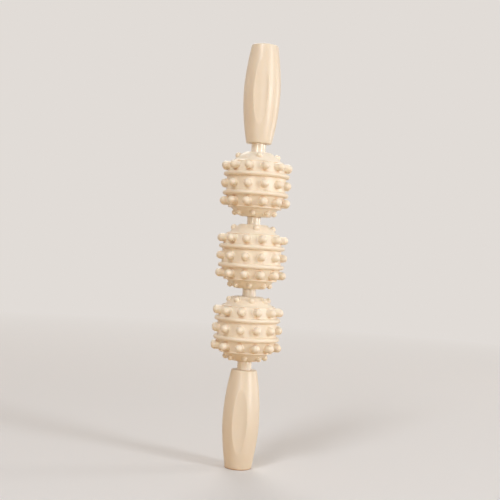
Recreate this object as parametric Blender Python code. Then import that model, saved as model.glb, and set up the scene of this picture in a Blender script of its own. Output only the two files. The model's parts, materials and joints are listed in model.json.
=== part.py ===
"""A massage roller stick that stands on the end of its lower handle: a steel rod with a fluted handle
screwed to each end, and three studded balls that spin on the rod between plastic collars and spacers.

Metres, with +Z up along the rod and the origin at the middle of the lower end face."""

import math

import bmesh
import bpy
from mathutils import Matrix, Vector

# Lengths along the stick
HANDLE_LENGTH = 0.0930
HANDLE_TO_BALL = 0.0088
BALL_HEIGHT = 0.0604
BALL_TO_BALL = 0.0076
BALL_NAMES = ("lower", "middle", "upper")
BALL_TURNS = (math.radians(7.1), math.radians(7.6), math.radians(3.5))

# Clearances
FIT_GAP = 0.0003
RUNNING_GAP = 0.0003

# Steel rod, tapped at both ends
ROD_RADIUS = 0.0040
TAPPED_DEPTH = 0.0150

# Rod screws and washers
SCREW_RADIUS = 0.0020
SCREW_LENGTH = 0.0180
SCREW_HEAD_RADIUS = 0.0035
SCREW_HEAD_HEIGHT = 0.0026
DRIVE_RADIUS = 0.0015
DRIVE_DEPTH = 0.0014
WASHER_RADIUS = 0.0055
WASHER_THICKNESS = 0.0010

# Handle, a barrel that swells towards its belly
HANDLE_BALL_RADIUS = 0.0119
HANDLE_END_RADIUS = 0.0125
BELLY_RADIUS = 0.0174
BELLY_FROM_BALL = 0.0500
BALL_SIDE_SHARE = 2.05
END_SIDE_SHARE = 1.6
HANDLE_EDGE = 0.0009
FLUTE_COUNT = 3
FLUTE_FROM_BALL = 0.0172
FLUTE_LENGTH = 0.0604
FLUTE_SWEEP_RADIUS = 0.0247

# Inside of the handle
POCKET_RADIUS = 0.0090
BALL_END_WALL = 0.0080
BOSS_RADIUS = 0.0062
BOSS_FROM_END = 0.0260
BOSS_FLOOR = 0.0050
RIB_COUNT = 4
RIB_THICKNESS = 0.0016
RIB_FROM_END = 0.0320

# End cap of the handle
END_CAP_RADIUS = 0.0100
END_CAP_THICKNESS = 0.0024
END_CAP_EDGE = 0.0004
END_CAP_SKIRT = 0.0070
END_CAP_SKIRT_WALL = 0.0016

# Collars beside the handles and spacers between the balls
COLLAR_RADIUS = 0.00675
COLLAR_SEAT_DEPTH = 0.0040
SPACER_RADIUS = 0.0064

# Studded sleeve, the soft belt of a ball
SLEEVE_HEIGHT = 0.0424
SLEEVE_RADIUS = 0.0280
SHOULDER_RADIUS = 0.0252
SHOULDER_SHARE = 1.3
RING_RADIUS = 0.0313
RING_WIDTH = 0.0042
RING_SPACING = 0.0178
STUDS_PER_ROW = 12
STUD_RADIUS = 0.0036
STUD_REACH = 0.0342
STUD_ROW_SPACING = 0.0166

# Hard core of a ball, a drum with a web and a tube
CORE_RADIUS = 0.0215
CORE_WALL = 0.0020
CORE_WEB = 0.0024
TUBE_RADIUS = 0.0098

# Domed cap that closes each pole of a ball
DOME_RIM_RADIUS = 0.0232
DOME_FLAT_RADIUS = 0.0130
DOME_BULGE = 0.0006
DOME_WALL = 0.0022
DOME_SKIRT = 0.0055
DOME_SKIRT_WALL = 0.0018
NUBS_PER_CAP = 8
NUB_RADIUS = 0.0028
SPARSE_CAPS = ("middle_ball_upper_cap", "upper_ball_upper_cap")
SPARSE_NUBS = 4
SPARSE_NUB_RADIUS = 0.0030
NUB_HEIGHT = 0.0033
NUB_PLACE_SHARE = 0.52
NUB_TURN = math.radians(5)

# Flanged bush in each end of a core's tube
BUSH_RADIUS = 0.0068
BUSH_LENGTH = 0.0140
BUSH_FLANGE = 0.0020
BUSH_RECESS = 0.0008

# Facets
HANDLE_SIDES = 30
FLUTE_SIDES = 72
SLEEVE_SIDES = 30
DOME_SIDES = 20
CORE_SIDES = 18
SHAFT_SIDES = 20
BUSH_SIDES = 16
SCREW_SIDES = 12
STUD_SIDES = 6
BARREL_STEPS = 9
DOME_STEPS = 2
SMOOTH_BELOW = math.radians(40)

# Places worked out from the sizes above
BALL_HALF = BALL_HEIGHT / 2
BALL_PITCH = BALL_HEIGHT + BALL_TO_BALL
FIRST_BALL = HANDLE_LENGTH + HANDLE_TO_BALL + BALL_HALF
STICK_LENGTH = 2 * FIRST_BALL + (len(BALL_NAMES) - 1) * BALL_PITCH
BORE_RADIUS = ROD_RADIUS + RUNNING_GAP
TAPPED_RADIUS = SCREW_RADIUS + FIT_GAP
ROD_FROM_END = BOSS_FROM_END + BOSS_FLOOR + FIT_GAP
SEAT_RADIUS = COLLAR_RADIUS + FIT_GAP
SLEEVE_HALF = SLEEVE_HEIGHT / 2
SLEEVE_BORE = CORE_RADIUS + FIT_GAP
RING_PLACE = RING_SPACING / 2
DRUM_BORE = CORE_RADIUS - CORE_WALL
TUBE_BORE = BUSH_RADIUS + FIT_GAP
TUBE_HALF = BALL_HALF - BUSH_FLANGE - FIT_GAP
DOME_BASE = SLEEVE_HALF + FIT_GAP
RECESS_RADIUS = max(COLLAR_RADIUS, SPACER_RADIUS) + RUNNING_GAP
COLLAR_DIP = BUSH_RECESS - RUNNING_GAP

IVORY = (0.86, 0.74, 0.56)
PALE_IVORY = (0.88, 0.77, 0.60)
STEEL = (0.58, 0.58, 0.60)


def clear_scene():
    for found in list(bpy.data.objects):
        bpy.data.objects.remove(found, do_unlink=True)


def material(name, colour, roughness, metallic=0.0):
    made = bpy.data.materials.new(name)
    made.use_nodes = True
    shader = made.node_tree.nodes["Principled BSDF"]
    shader.inputs["Base Color"].default_value = (*colour, 1.0)
    shader.inputs["Roughness"].default_value = roughness
    shader.inputs["Metallic"].default_value = metallic
    made.diffuse_color = (*colour, 1.0)
    return made


def ring_of_points(bm, radius, height, sides):
    """A ring around the Z axis, or the one point on it."""
    if radius == 0:
        return [bm.verts.new((0, 0, height))]
    angles = [math.tau * i / sides for i in range(sides)]
    return [bm.verts.new((radius * math.cos(a), radius * math.sin(a), height)) for a in angles]


def bridge(bm, lower, upper):
    """Faces between two rings, one of which may be a single point."""
    count = max(len(lower), len(upper))
    for i in range(count):
        j = (i + 1) % count
        corners = (lower[i % len(lower)], lower[j % len(lower)], upper[j % len(upper)], upper[i % len(upper)])
        bm.faces.new(tuple(dict.fromkeys(corners)))


def add_turned(bm, profile, sides, place=None):
    """Turns (radius, height) points around Z. A profile that never meets the axis is a closed loop."""
    rings = [ring_of_points(bm, radius, height, sides) for radius, height in profile]
    pairs = list(zip(rings, rings[1:]))
    if profile[0][0] and profile[-1][0]:
        pairs.append((rings[-1], rings[0]))
    for lower, upper in pairs:
        bridge(bm, lower, upper)
    if place is not None:
        points = [point for ring in rings for point in ring]
        bmesh.ops.transform(bm, matrix=place, verts=points)


def finished_mesh(bm, name):
    """The mesh with its faces pointing out, smooth apart from its real edges."""
    bmesh.ops.recalc_face_normals(bm, faces=bm.faces)
    mesh = bpy.data.meshes.new(name)
    bm.to_mesh(mesh)
    bm.free()
    mesh.shade_smooth()
    mesh.set_sharp_from_angle(angle=SMOOTH_BELOW)
    return mesh


def turned_mesh(name, profile, sides):
    bm = bmesh.new()
    add_turned(bm, profile, sides)
    return finished_mesh(bm, name)


def combined(mesh, tool, operation):
    """The mesh joined with or cut by the bodies of another, through a Boolean modifier."""
    base = bpy.data.objects.new(mesh.name, mesh)
    other = bpy.data.objects.new(tool.name, tool)
    for made in (base, other):
        bpy.context.scene.collection.objects.link(made)
    modifier = base.modifiers.new("combine", "BOOLEAN")
    modifier.operation = operation
    modifier.solver = "EXACT"
    modifier.object = other
    graph = bpy.context.evaluated_depsgraph_get()
    result = bpy.data.meshes.new_from_object(base.evaluated_get(graph))
    result.name = mesh.name
    for made in (base, other):
        bpy.data.objects.remove(made, do_unlink=True)
    result.shade_smooth()
    result.set_sharp_from_angle(angle=SMOOTH_BELOW)
    return result


def quarter_arc(centre, radius, start, steps=2):
    """Points of a quarter circle in the (radius, height) plane, clockwise from the start angle."""
    angles = [start - math.pi / 2 * i / steps for i in range(steps + 1)]
    return [(centre[0] + radius * math.cos(a), centre[1] + radius * math.sin(a)) for a in angles]


def barrel_radius(from_ball):
    """The handle's outer radius at a distance from its end beside the ball."""
    if from_ball < BELLY_FROM_BALL:
        reach, end, power = BELLY_FROM_BALL, HANDLE_BALL_RADIUS, BALL_SIDE_SHARE
    else:
        reach, end, power = HANDLE_LENGTH - BELLY_FROM_BALL, HANDLE_END_RADIUS, END_SIDE_SHARE
    away = abs(from_ball - BELLY_FROM_BALL) / reach
    return BELLY_RADIUS - (BELLY_RADIUS - end) * away**power


def handle_profile():
    """The handle's half section, with heights counted from its outer end."""
    seat_floor = HANDLE_LENGTH - COLLAR_SEAT_DEPTH
    pocket_floor = HANDLE_LENGTH - BALL_END_WALL
    boss_floor = BOSS_FROM_END + BOSS_FLOOR
    socket_radius = END_CAP_RADIUS + FIT_GAP
    socket_depth = END_CAP_THICKNESS + FIT_GAP
    straight = HANDLE_LENGTH - 2 * HANDLE_EDGE
    steps = [HANDLE_EDGE + straight * i / BARREL_STEPS for i in range(1, BARREL_STEPS)]
    barrel = [(barrel_radius(HANDLE_LENGTH - height), height) for height in steps]
    end_edge = quarter_arc((HANDLE_END_RADIUS - HANDLE_EDGE, HANDLE_EDGE), HANDLE_EDGE, 0)
    ball_centre = (HANDLE_BALL_RADIUS - HANDLE_EDGE, HANDLE_LENGTH - HANDLE_EDGE)
    ball_edge = quarter_arc(ball_centre, HANDLE_EDGE, math.pi / 2)
    inside = [
        (SEAT_RADIUS, HANDLE_LENGTH),
        (SEAT_RADIUS, seat_floor),
        (BORE_RADIUS, seat_floor),
        (BORE_RADIUS, boss_floor),
        (TAPPED_RADIUS, boss_floor),
        (TAPPED_RADIUS, BOSS_FROM_END),
        (BOSS_RADIUS, BOSS_FROM_END),
        (BOSS_RADIUS, pocket_floor),
        (POCKET_RADIUS, pocket_floor),
        (POCKET_RADIUS, socket_depth),
        (socket_radius, socket_depth),
        (socket_radius, 0),
    ]
    return end_edge[::-1] + barrel + ball_edge[::-1] + inside


def rib_bodies():
    """Bars between the boss and the wall of the pocket, a little longer than the space there."""
    bm = bmesh.new()
    inner = (BOSS_RADIUS + BORE_RADIUS) / 2
    outer = POCKET_RADIUS + RIB_THICKNESS
    top = HANDLE_LENGTH - BALL_END_WALL + RIB_THICKNESS
    size = (outer - inner, RIB_THICKNESS, top - RIB_FROM_END)
    middle = ((outer + inner) / 2, 0, (top + RIB_FROM_END) / 2)
    box = Matrix.Translation(middle) @ Matrix.Diagonal((*size, 1))
    for i in range(RIB_COUNT):
        turn = Matrix.Rotation(math.tau * (i + 1 / 2) / RIB_COUNT, 4, "Z")
        bmesh.ops.create_cube(bm, size=1, matrix=turn @ box)
    return finished_mesh(bm, "ribs")


def flute_bodies():
    """Round bars that sink into the belly between the two tips of each flute."""
    bm = bmesh.new()
    tips = []
    for from_ball in (FLUTE_FROM_BALL, FLUTE_FROM_BALL + FLUTE_LENGTH):
        tips.append(Vector((0, -barrel_radius(from_ball), HANDLE_LENGTH - from_ball)))
    along = (tips[0] - tips[1]).normalized()
    outward = along.cross(Vector((1, 0, 0))).normalized()
    if outward.y > 0:
        outward.negate()
    middle = (tips[0] + tips[1]) / 2 + outward * FLUTE_SWEEP_RADIUS
    lie = Matrix.Translation(middle) @ along.to_track_quat("Z", "Y").to_matrix().to_4x4()
    bar = [
        (0, -FLUTE_LENGTH),
        (FLUTE_SWEEP_RADIUS, -FLUTE_LENGTH),
        (FLUTE_SWEEP_RADIUS, FLUTE_LENGTH),
        (0, FLUTE_LENGTH),
    ]
    for i in range(FLUTE_COUNT):
        turn = Matrix.Rotation(math.tau * i / FLUTE_COUNT, 4, "Z")
        add_turned(bm, bar, FLUTE_SIDES, turn @ lie)
    return finished_mesh(bm, "flutes")


def handle_mesh():
    barrel = turned_mesh("handle", handle_profile(), HANDLE_SIDES)
    ribbed = combined(barrel, rib_bodies(), "UNION")
    return combined(ribbed, flute_bodies(), "DIFFERENCE")


def end_cap_mesh():
    """A disc with a skirt that plugs the pocket of the handle."""
    outer = POCKET_RADIUS - FIT_GAP
    inner = outer - END_CAP_SKIRT_WALL
    tip = END_CAP_THICKNESS + END_CAP_SKIRT
    profile = [
        (0, 0),
        (END_CAP_RADIUS - END_CAP_EDGE, 0),
        (END_CAP_RADIUS, END_CAP_EDGE),
        (END_CAP_RADIUS, END_CAP_THICKNESS),
        (outer, END_CAP_THICKNESS),
        (outer, tip),
        (inner, tip),
        (inner, END_CAP_THICKNESS),
        (0, END_CAP_THICKNESS),
    ]
    return turned_mesh("end_cap", profile, SHAFT_SIDES)


def washer_mesh():
    top = BOSS_FROM_END - FIT_GAP
    bottom = top - WASHER_THICKNESS
    inner = TAPPED_RADIUS
    profile = [(inner, bottom), (WASHER_RADIUS, bottom), (WASHER_RADIUS, top), (inner, top)]
    return turned_mesh("washer", profile, BUSH_SIDES)


def screw_mesh():
    """A cheese-head screw that holds the handle's boss against the end of the rod."""
    seat = BOSS_FROM_END - WASHER_THICKNESS - 2 * FIT_GAP
    head = seat - SCREW_HEAD_HEIGHT
    profile = [
        (0, head + DRIVE_DEPTH),
        (DRIVE_RADIUS, head + DRIVE_DEPTH),
        (DRIVE_RADIUS, head),
        (SCREW_HEAD_RADIUS, head),
        (SCREW_HEAD_RADIUS, seat),
        (SCREW_RADIUS, seat),
        (SCREW_RADIUS, seat + SCREW_LENGTH),
        (0, seat + SCREW_LENGTH),
    ]
    return turned_mesh("rod_screw", profile, SCREW_SIDES)


def tube_profile(radius, bottom, top):
    return [(BORE_RADIUS, bottom), (radius, bottom), (radius, top), (BORE_RADIUS, top)]


def collar_mesh():
    bottom = HANDLE_LENGTH - COLLAR_SEAT_DEPTH + FIT_GAP
    top = HANDLE_LENGTH + HANDLE_TO_BALL + COLLAR_DIP
    return turned_mesh("collar", tube_profile(COLLAR_RADIUS, bottom, top), SHAFT_SIDES)


def spacer_mesh():
    half = BALL_TO_BALL / 2 + COLLAR_DIP
    return turned_mesh("spacer", tube_profile(SPACER_RADIUS, -half, half), SHAFT_SIDES)


def rod_mesh():
    bottom = ROD_FROM_END
    top = STICK_LENGTH - ROD_FROM_END
    profile = [
        (0, bottom + TAPPED_DEPTH),
        (TAPPED_RADIUS, bottom + TAPPED_DEPTH),
        (TAPPED_RADIUS, bottom),
        (ROD_RADIUS, bottom),
        (ROD_RADIUS, top),
        (TAPPED_RADIUS, top),
        (TAPPED_RADIUS, top - TAPPED_DEPTH),
        (0, top - TAPPED_DEPTH),
    ]
    return turned_mesh("core_rod", profile, BUSH_SIDES)


def add_stud(bm, place, radius, length, sides):
    """A round peg along local +Z with a dome for a tip."""
    shank = length - radius
    mid = radius * math.sqrt(1 / 2)
    profile = [(0, 0), (radius, 0), (radius, shank), (mid, shank + mid), (0, length)]
    add_turned(bm, profile, sides, place)


def shoulder_radius(height):
    """The sleeve's outer radius between its ring and its end."""
    away = (height - RING_PLACE) / (SLEEVE_HALF - RING_PLACE)
    return SLEEVE_RADIUS - (SLEEVE_RADIUS - SHOULDER_RADIUS) * away**SHOULDER_SHARE


def sleeve_profile():
    foot = RING_WIDTH / 2
    top = foot * math.sqrt(1 / 2)
    lift = (RING_RADIUS - SLEEVE_RADIUS) * math.sqrt(1 / 2)
    row = STUD_ROW_SPACING
    upper = [
        (SLEEVE_RADIUS, RING_PLACE - foot),
        (SLEEVE_RADIUS + lift, RING_PLACE - top),
        (RING_RADIUS, RING_PLACE),
        (SLEEVE_RADIUS + lift, RING_PLACE + top),
        (shoulder_radius(RING_PLACE + foot), RING_PLACE + foot),
        (shoulder_radius(row), row),
        (SHOULDER_RADIUS, SLEEVE_HALF),
        (SLEEVE_BORE, SLEEVE_HALF),
    ]
    lower = [(radius, -height) for radius, height in reversed(upper)]
    return lower + upper


def stud_bodies():
    """Rows of studs that stand square to the axis, rooted halfway into the sleeve's wall."""
    bm = bmesh.new()
    upright = Matrix.Rotation(math.pi / 2, 4, "Y")
    rows = ((-STUD_ROW_SPACING, SHOULDER_RADIUS), (0, SLEEVE_RADIUS), (STUD_ROW_SPACING, SHOULDER_RADIUS))
    for height, wall_radius in rows:
        root = (SLEEVE_BORE + wall_radius) / 2
        for i in range(STUDS_PER_ROW):
            turn = Matrix.Rotation(math.tau * (i + 1 / 2) / STUDS_PER_ROW, 4, "Z")
            place = turn @ Matrix.Translation((root, 0, height)) @ upright
            add_stud(bm, place, STUD_RADIUS, STUD_REACH - root, STUD_SIDES)
    return finished_mesh(bm, "studs")


def sleeve_mesh():
    belt = turned_mesh("sleeve", sleeve_profile(), SLEEVE_SIDES)
    return combined(belt, stud_bodies(), "UNION")


def core_mesh():
    half_web = CORE_WEB / 2
    upper = [
        (CORE_RADIUS, SLEEVE_HALF),
        (DRUM_BORE, SLEEVE_HALF),
        (DRUM_BORE, half_web),
        (TUBE_RADIUS, half_web),
        (TUBE_RADIUS, TUBE_HALF),
        (TUBE_BORE, TUBE_HALF),
    ]
    lower = [(radius, -height) for radius, height in reversed(upper)]
    return turned_mesh("core", upper + lower, CORE_SIDES)


def dome_point(share):
    """A point of the dome's outer curve, with the share running from its rim to its flat."""
    rim = Vector((DOME_RIM_RADIUS, DOME_BASE))
    flat = Vector((DOME_FLAT_RADIUS, BALL_HALF))
    out = dome_outward()
    return rim.lerp(flat, share) + out * DOME_BULGE * math.sin(math.pi * share)


def dome_outward():
    chord = Vector((DOME_FLAT_RADIUS - DOME_RIM_RADIUS, BALL_HALF - DOME_BASE))
    return Vector((chord.y, -chord.x)).normalized()


def dome_profile():
    skirt_outer = DRUM_BORE - FIT_GAP
    skirt_inner = skirt_outer - DOME_SKIRT_WALL
    skirt_tip = DOME_BASE - DOME_SKIRT
    bore = TUBE_RADIUS + FIT_GAP
    ceiling = BALL_HALF - DOME_WALL
    curve = [tuple(dome_point(i / DOME_STEPS)) for i in range(DOME_STEPS + 1)]
    return [(skirt_inner, skirt_tip), (skirt_outer, skirt_tip), (skirt_outer, DOME_BASE)] + curve + [
        (bore, BALL_HALF),
        (bore, ceiling),
        (DOME_FLAT_RADIUS, ceiling),
        (skirt_inner, DOME_BASE),
    ]


def nub_bodies(count, radius):
    """Small round nubs that stand square to the dome."""
    bm = bmesh.new()
    outward = dome_outward()
    root = dome_point(NUB_PLACE_SHARE) - outward * DOME_WALL / 2
    lean = Matrix.Rotation(math.atan2(outward.x, outward.y), 4, "Y")
    for i in range(count):
        turn = Matrix.Rotation(NUB_TURN + math.tau * i / count, 4, "Z")
        place = turn @ Matrix.Translation((root.x, 0, root.y)) @ lean
        add_stud(bm, place, radius, NUB_HEIGHT + DOME_WALL / 2, STUD_SIDES)
    return finished_mesh(bm, "nubs")


def dome_mesh(nubs, nub_radius):
    dome = turned_mesh("dome", dome_profile(), DOME_SIDES)
    return combined(dome, nub_bodies(nubs, nub_radius), "UNION")


def bush_mesh():
    """A flanged bush whose face has a shallow recess for the end of a collar or spacer."""
    under = BALL_HALF - BUSH_FLANGE
    floor = BALL_HALF - BUSH_RECESS
    tip = under - BUSH_LENGTH
    profile = [
        (BORE_RADIUS, tip),
        (BUSH_RADIUS, tip),
        (BUSH_RADIUS, under),
        (TUBE_RADIUS, under),
        (TUBE_RADIUS, BALL_HALF),
        (RECESS_RADIUS, BALL_HALF),
        (RECESS_RADIUS, floor),
        (BORE_RADIUS, floor),
    ]
    return turned_mesh("bush", profile, BUSH_SIDES)


def anchor(name, height, turn):
    """An empty on the stick's axis, which carries the pieces placed from it."""
    empty = bpy.data.objects.new(name, None)
    empty.matrix_world = Matrix.Translation((0, 0, height)) @ turn
    bpy.context.scene.collection.objects.link(empty)
    return empty


def piece(name, mesh, finish, carrier, turn=None):
    made = bpy.data.objects.new(name, mesh)
    if not mesh.materials:
        mesh.materials.append(finish)
    made.parent = carrier
    if turn is not None:
        made.matrix_basis = turn
    bpy.context.scene.collection.objects.link(made)
    return made


def build_stick(finishes):
    """The rod with what is fixed to it. The upper end is the lower one turned over."""
    over = Matrix.Rotation(math.pi, 4, "Y")
    base = anchor("stick_base", 0, Matrix())
    piece("core_rod", rod_mesh(), finishes["rod"], base)
    handle, end_cap, collar = handle_mesh(), end_cap_mesh(), collar_mesh()
    screw, washer = screw_mesh(), washer_mesh()
    for side, height, turn in (("lower", 0, Matrix()), ("upper", STICK_LENGTH, over)):
        end = anchor(f"{side}_end", height, turn)
        piece(f"{side}_handle", handle, finishes["handle"], end)
        piece(f"{side}_end_cap", end_cap, finishes["end_cap"], end)
        piece(f"{side}_rod_screw", screw, finishes["screw"], end)
        piece(f"{side}_washer", washer, finishes["washer"], end)
        piece(f"{side}_collar", collar, finishes["collar"], end)
    spacer = spacer_mesh()
    for i, side in enumerate(("lower", "upper")):
        middle = anchor(f"{side}_gap", FIRST_BALL + (i + 1 / 2) * BALL_PITCH, Matrix())
        piece(f"{side}_spacer", spacer, finishes["spacer"], middle)


def build_balls(finishes):
    """Three balls, each carried by an empty on its spin axis. Two of their upper caps have fewer nubs."""
    over = Matrix.Rotation(math.pi, 4, "X")
    sleeve, core, bush = sleeve_mesh(), core_mesh(), bush_mesh()
    full_dome = dome_mesh(NUBS_PER_CAP, NUB_RADIUS)
    sparse_dome = dome_mesh(SPARSE_NUBS, SPARSE_NUB_RADIUS)
    for i, (name, angle) in enumerate(zip(BALL_NAMES, BALL_TURNS)):
        spin = anchor(f"{name}_ball_spin", FIRST_BALL + i * BALL_PITCH, Matrix.Rotation(angle, 4, "Z"))
        piece(f"{name}_ball_sleeve", sleeve, finishes["sleeve"], spin)
        piece(f"{name}_ball_core", core, finishes["core"], spin)
        for side, turn in (("lower", over), ("upper", None)):
            cap_name = f"{name}_ball_{side}_cap"
            dome = sparse_dome if cap_name in SPARSE_CAPS else full_dome
            piece(cap_name, dome, finishes["dome"], spin, turn)
            piece(f"{name}_ball_{side}_bush", bush, finishes["bush"], spin, turn)


def make_finishes():
    return {
        "rod": material("rod_steel", STEEL, 0.35, 1.0),
        "screw": material("screw_steel", STEEL, 0.40, 1.0),
        "washer": material("washer_steel", STEEL, 0.45, 1.0),
        "handle": material("handle_plastic", IVORY, 0.40),
        "end_cap": material("end_cap_plastic", IVORY, 0.42),
        "collar": material("collar_plastic", IVORY, 0.30),
        "spacer": material("spacer_plastic", IVORY, 0.30),
        "sleeve": material("sleeve_rubber", IVORY, 0.45),
        "dome": material("ball_cap_plastic", IVORY, 0.42),
        "core": material("ball_core_plastic", PALE_IVORY, 0.50),
        "bush": material("bush_plastic", PALE_IVORY, 0.35),
    }


def main():
    clear_scene()
    finishes = make_finishes()
    build_stick(finishes)
    build_balls(finishes)
    bpy.context.view_layer.update()


main()
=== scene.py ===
"""The looks of a massage roller stick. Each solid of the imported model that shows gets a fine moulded
mesh in its place, with fillets, drawn-out stud roots and a procedural finish.

Metres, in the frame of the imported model: +Z runs up the rod from the lower end face, and -Y is the
front, where one flute of each handle faces."""

import json
import math
from collections import namedtuple

import bmesh
import bpy
import numpy as np
from mathutils import Matrix, Vector


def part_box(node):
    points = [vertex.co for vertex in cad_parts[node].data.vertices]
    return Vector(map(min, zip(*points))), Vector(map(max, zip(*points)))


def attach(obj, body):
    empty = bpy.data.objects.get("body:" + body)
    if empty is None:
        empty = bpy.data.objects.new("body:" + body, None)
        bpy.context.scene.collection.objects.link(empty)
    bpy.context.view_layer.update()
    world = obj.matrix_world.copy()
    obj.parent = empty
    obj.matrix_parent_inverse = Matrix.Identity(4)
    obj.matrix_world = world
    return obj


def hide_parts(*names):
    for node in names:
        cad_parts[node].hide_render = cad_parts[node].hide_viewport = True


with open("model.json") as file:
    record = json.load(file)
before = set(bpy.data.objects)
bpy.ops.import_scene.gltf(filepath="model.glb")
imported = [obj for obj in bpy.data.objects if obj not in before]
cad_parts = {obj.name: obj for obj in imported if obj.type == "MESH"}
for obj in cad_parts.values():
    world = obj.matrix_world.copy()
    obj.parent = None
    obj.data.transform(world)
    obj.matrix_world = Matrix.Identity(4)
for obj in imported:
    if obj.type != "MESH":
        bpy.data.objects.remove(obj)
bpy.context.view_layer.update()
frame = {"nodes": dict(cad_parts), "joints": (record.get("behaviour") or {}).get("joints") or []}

# Clearance between pieces, and how finely meshes are made and their edges rounded
MM = 0.001
GAP = 0.3 * MM
WELD = 0.001 * MM
ARC_STEPS = 5
SHAFT_SIDES = 96
SHARP_ABOVE = math.radians(38)
FRONT = -math.pi / 2
FINE_EDGE = 0.2 * MM
TUBE_EDGE = 0.35 * MM

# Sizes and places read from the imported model
HANDLE_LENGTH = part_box("lower_handle")[1].z
STICK_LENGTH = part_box("upper_handle")[1].z
ROD_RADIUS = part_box("core_rod")[1].x
COLLAR_LOW, COLLAR_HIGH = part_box("lower_collar")
SPACER_LOW, SPACER_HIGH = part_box("lower_spacer")
END_CAP_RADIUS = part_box("lower_end_cap")[1].x
END_CAP_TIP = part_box("lower_end_cap")[1].z
BALLS = {joint["child"]: joint["pos_m"][2] for joint in frame["joints"]}
BALL_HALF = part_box("middle_ball_upper_cap")[1].z - BALLS["middle_ball"]
SLEEVE_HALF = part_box("middle_ball_sleeve")[1].z - BALLS["middle_ball"]
BORE_RADIUS = ROD_RADIUS + GAP

# Handle: a barrel that swells towards its belly, with three flutes
BALL_SIDE_RADIUS = 11.9 * MM
OUTER_END_RADIUS = 12.5 * MM
BELLY_RADIUS = 17.4 * MM
BELLY_FROM_BALL = 50.0 * MM
BALL_SIDE_POWER = 2.05
OUTER_END_POWER = 1.6
HANDLE_EDGE = 1.1 * MM
BARREL_INSET = 3 * HANDLE_EDGE
HANDLE_ROWS = 150
FLUTES = 3
FLUTE_FROM_BALL = 17.2 * MM
FLUTE_LENGTH = 60.4 * MM
FLUTE_SWEEP = 24.7 * MM
RIM_SOFTNESS = 0.22 * MM
RIM_HALF_WIDTH = math.radians(1.1)
NARROWEST_RIM = math.radians(4.0)

# Columns of the handle's mesh from a flute's middle outwards: in the flute, over its rim, on the barrel
FLUTE_COLUMNS = (10, 4, 18)

# Inside of the handle
POCKET_RADIUS = 9.0 * MM
BALL_END_WALL = 8.0 * MM
BOSS_RADIUS = 6.2 * MM
BOSS_FROM_END = 26.0 * MM
BOSS_FLOOR = 5.0 * MM
SCREW_HOLE_RADIUS = 2.3 * MM
SEAT_DEPTH = HANDLE_LENGTH - COLLAR_LOW.z + GAP
POCKET_EDGE = 0.5 * MM

# End cap
END_CAP_THICKNESS = 2.4 * MM
END_CAP_WALL = 1.6 * MM
END_CAP_EDGE = 0.4 * MM
GATE_RADIUS = 1.1 * MM
GATE_DEPTH = 0.15 * MM

# Sleeve of a ball, with its rings, ends and studs
SLEEVE_RADIUS = 28.0 * MM
SHOULDER_RADIUS = 24.9 * MM
SHOULDER_POWER = 1.3
SLEEVE_BORE = 21.8 * MM
RING_PLACE = 8.9 * MM
RING_RADIUS = 31.3 * MM
RING_HALF = 2.1 * MM
RING_CREST = 0.999 * RING_HALF
RING_FOOT = 0.6 * MM
RING_FOOT_EDGE = 0.9 * RING_FOOT
SLEEVE_END_EDGE = 0.15 * MM
SLOPE_START = 20.4 * MM
SLOPE_STEP = 0.4 * MM
SLOPE_END = 22.1 * MM
SLOPE_FOOT_RADIUS = 25.4 * MM
SLOPE_TOP_RADIUS = 23.8 * MM
SLOPE_EDGE = 0.2 * MM
LIP_START = 20.85 * MM
LIP_END = 22.4 * MM
LIP_RADIUS = 25.4 * MM
LIP_TOP_BORE = 22.9 * MM
LIP_BORE = 23.6 * MM
LIP_EDGE = 0.6 * MM
STUD_COLUMNS = 12
STUD_ROWS = (-16.6 * MM, 0.0, 16.6 * MM)
STUD_REACH = 34.2 * MM
STUD_RADIUS = 3.75 * MM
STUD_TIP_RADIUS = 3.68 * MM
STUD_TIP_HEIGHT = 3.5 * MM
STUD_FILLET = 0.8 * MM
LEAST_FILLET_SHARE = 0.1

# Domed cap of a ball, with its nubs
DOME_BASE = SLEEVE_HALF + GAP
DOME_RIM_RADIUS = 23.2 * MM
DOME_FLAT_RADIUS = 13.0 * MM
DOME_WIDTH = DOME_RIM_RADIUS - DOME_FLAT_RADIUS
DOME_RISE = BALL_HALF - DOME_BASE
DOME_LENGTH = math.hypot(DOME_WIDTH, DOME_RISE)
DOME_BULGE = 0.6 * MM
DOME_WALL = 2.2 * MM
DOME_FLAT_EDGE = 1.0 * MM
DOME_SKIRT = 5.5 * MM
DOME_SKIRT_RADIUS = 19.2 * MM
DOME_SKIRT_WALL = 1.8 * MM
DOME_BORE = 10.1 * MM
NUB_COLUMNS = 8
SPARSE_NUB_COLUMNS = 4
SPARSE_CAPS = ("middle_ball_upper_cap", "upper_ball_upper_cap")
NUB_PLACE_SHARE = 0.52
NUB_CELL_SHARES = (0.14, 0.90)
NUB_TURN = math.radians(5)
NUB_RADIUS = 2.75 * MM
NUB_TIP_RADIUS = 2.65 * MM
NUB_TIP_HEIGHT = 2.4 * MM
SPARSE_NUB_RADIUS = 3.0 * MM
SPARSE_NUB_TIP_RADIUS = 2.95 * MM
SPARSE_NUB_TIP_HEIGHT = 2.8 * MM
NUB_FILLET = 0.4 * MM
NUB_REACH = 3.3 * MM

# Bush in each end of a ball
BUSH_RADIUS = 6.8 * MM
BUSH_TIP = 16.0 * MM
BUSH_FLANGE = 2.0 * MM
BUSH_FLANGE_RADIUS = 9.8 * MM
BUSH_RECESS = 0.8 * MM

# How far each ball stands turned about the rod, as the photo shows it
BALL_TURNS = {
    "lower_ball": math.radians(7.1),
    "middle_ball": math.radians(7.6),
    "upper_ball": math.radians(3.5),
}

# A stud or nub, and the place on the skin where it sits with the directions out of the skin and along it
Stud = namedtuple("Stud", "radius tip_radius tip_height fillet reach")
Seat = namedtuple("Seat", "place radius height out along")

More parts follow.
